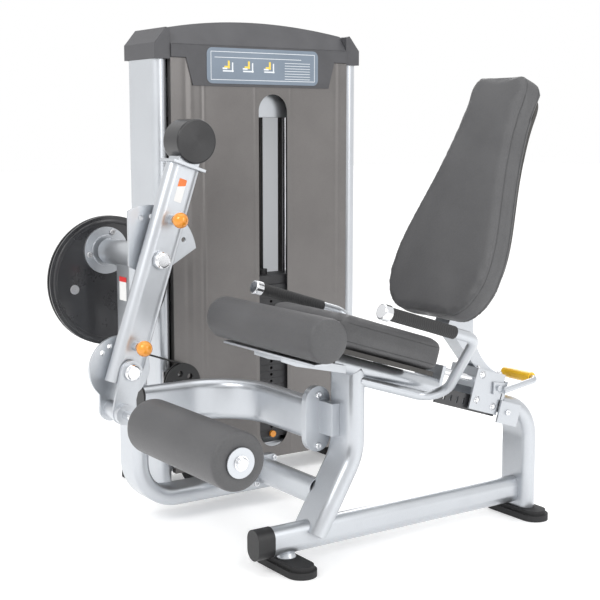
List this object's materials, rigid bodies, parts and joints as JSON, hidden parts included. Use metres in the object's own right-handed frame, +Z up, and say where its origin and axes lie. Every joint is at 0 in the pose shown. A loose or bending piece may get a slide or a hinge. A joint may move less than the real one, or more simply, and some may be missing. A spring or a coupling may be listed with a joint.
{
  "type": "leg extension machine",
  "caption": "Seated leg extension gym machine: weight tower with cable and cam, pivoting counterweighted lever with shin roller, sloped seat and sliding back pad.",
  "frame": {"origin": "middle of the footprint, on the floor", "axes": "+Z up, the user sits facing -Y, the weight tower stands at -X on the user's right"},
  "size_m": [1.3773, 1.256, 1.5],
  "materials": {
    "silver_paint": "metallic satin paint",
    "shroud_paint": "satin metallic taupe",
    "black_paint": "gloss black",
    "dark_plastic": "grained dark grey",
    "black_plastic": "satin black",
    "vinyl": "dark grey grained vinyl",
    "foot_rubber": "matt black",
    "grip_rubber": "ribbed matt black",
    "steel_chrome": "polished",
    "zinc_steel": "ground",
    "iron": "black paint",
    "board": "painted underside",
    "cable_jacket": "black nylon",
    "orange_knob": "orange",
    "yellow_grip": "yellow"
  },
  "bodies": {
    "frame": {"adjuster_rack": "black_paint", "base_end_cap": "dark_plastic", "base_tube": "silver_paint", "bearing_housing": "silver_paint", "cable_run": "cable_jacket", "carriage_rods": "steel_chrome", "cross_tubes": "silver_paint", "frame_bolts": "steel_chrome", "frame_flanges": "silver_paint", "front_shroud": "shroud_paint", "front_upright": "silver_paint", "grip_caps": "steel_chrome", "guide_rods": "steel_chrome", "handle_grips": "grip_rubber", "handles": "silver_paint", "lever_column": "silver_paint", "pulley_mounts": "zinc_steel", "rear_shroud": "shroud_paint", "rear_upright": "silver_paint", "rod_plates": "silver_paint", "rubber_feet": "foot_rubber", "seat_board": "board", "seat_pad": "vinyl", "seat_rail": "silver_paint", "side_beam": "silver_paint", "stack_cable": "cable_jacket", "thigh_roller": "vinyl", "thigh_roller_mount": "silver_paint", "top_cover": "dark_plastic", "tower_frame": "silver_paint", "tower_post_caps": "dark_plastic"},
    "stack": {"lifted_plates": "iron", "head_plate": "iron"},
    "selector_pin": {"selector_pin": "orange_knob"},
    "idler_pulley": {"idler_pulley": "black_plastic"},
    "floor_pulley": {"floor_pulley": "black_plastic"},
    "outer_pulley": {"top_pulley_outer": "black_plastic"},
    "inner_pulley": {"top_pulley_inner": "black_plastic"},
    "cam": {"cam": "black_paint", "cam_bolts": "zinc_steel", "hub_flange": "silver_paint", "knee_shaft": "steel_chrome", "start_plate": "silver_paint"},
    "lever": {"lever_tube": "silver_paint", "lever_fittings": "silver_paint", "counterweight": "black_paint"},
    "start_pin": {"start_pin": "orange_knob"},
    "shin_pin": {"shin_pin": "orange_knob"},
    "link": {"link_disc": "silver_paint", "link_plate": "silver_paint", "link_pivot_bolt": "steel_chrome", "roller_axle": "steel_chrome"},
    "shin_roller": {"shin_roller": "vinyl", "roller_hub": "silver_paint"},
    "carriage": {"carriage": "silver_paint", "back_bracket": "silver_paint", "back_board": "board", "back_pad": "vinyl"},
    "release": {"release_lever": "silver_paint", "release_grip": "yellow_grip"}
  },
  "joints": [
    {"name": "stack_lift", "type": "slide", "parent": "frame", "child": "stack", "axis": [0, 0, 1], "range_m": [0, 0.35], "deforming": ["stack_cable"]},
    {"name": "selector_pin_pull", "type": "slide", "parent": "stack", "child": "selector_pin", "axis": [1, 0, 0], "range_m": [0, 0.07]},
    {"name": "cam_turn", "type": "hinge", "parent": "frame", "child": "cam", "pos_m": [-0.0226, -0.4169, 0.799], "axis": [-1, 0, 0], "range_deg": [0, 100.1]},
    {"name": "idler_spin", "type": "hinge", "parent": "frame", "child": "idler_pulley", "pos_m": [-0.3646, -0.1569, 0.364], "axis": [1, 0, 0], "range_deg": [0, 360]},
    {"name": "floor_spin", "type": "hinge", "parent": "frame", "child": "floor_pulley", "pos_m": [-0.4186, -0.1009, 0.08], "axis": [0, -1, 0], "range_deg": [0, 372]},
    {"name": "outer_spin", "type": "hinge", "parent": "frame", "child": "outer_pulley", "pos_m": [-0.4726, -0.0449, 1.29], "axis": [1, 0, 0], "range_deg": [0, 360]},
    {"name": "inner_spin", "type": "hinge", "parent": "frame", "child": "inner_pulley", "pos_m": [-0.4726, 0.1596, 1.29], "axis": [1, 0, 0], "range_deg": [0, 360]},
    {"name": "start_adjust", "type": "hinge", "parent": "cam", "child": "lever", "pos_m": [-0.0226, -0.4169, 0.799], "axis": [-1, 0, 0], "range_deg": [0, 20]},
    {"name": "start_pin_pull", "type": "slide", "parent": "lever", "child": "start_pin", "axis": [1, 0, 0], "range_m": [0, 0.012], "stiffness_N_per_m": 600},
    {"name": "shin_adjust", "type": "hinge", "parent": "lever", "child": "link", "pos_m": [-0.0226, -0.51885, 0.49779], "axis": [-1, 0, 0], "range_deg": [-30, 45]},
    {"name": "shin_pin_pull", "type": "slide", "parent": "lever", "child": "shin_pin", "axis": [1, 0, 0], "range_m": [0, 0.012], "stiffness_N_per_m": 600},
    {"name": "roller_spin", "type": "hinge", "parent": "link", "child": "shin_roller", "pos_m": [0.3974, -0.5489, 0.387], "axis": [1, 0, 0], "continuous": true},
    {"name": "back_slide", "type": "slide", "parent": "frame", "child": "carriage", "axis": [0, -0.9537, 0.3007], "range_m": [0, 0.11]},
    {"name": "release_lift", "type": "hinge", "parent": "carriage", "child": "release", "pos_m": [0.4374, 0.44137, 0.41433], "axis": [1, 0, 0], "range_deg": [0, 12], "stiffness_Nm_per_rad": 6}
  ],
  "couplings": [
    {"joint": "cam_turn", "follows": "stack_lift", "rad_per_m": 4.9867},
    {"joint": "idler_spin", "follows": "stack_lift", "rad_per_m": 17.857},
    {"joint": "floor_spin", "follows": "stack_lift", "rad_per_m": 18.518},
    {"joint": "outer_spin", "follows": "stack_lift", "rad_per_m": 17.857},
    {"joint": "inner_spin", "follows": "stack_lift", "rad_per_m": 17.857}
  ]
}
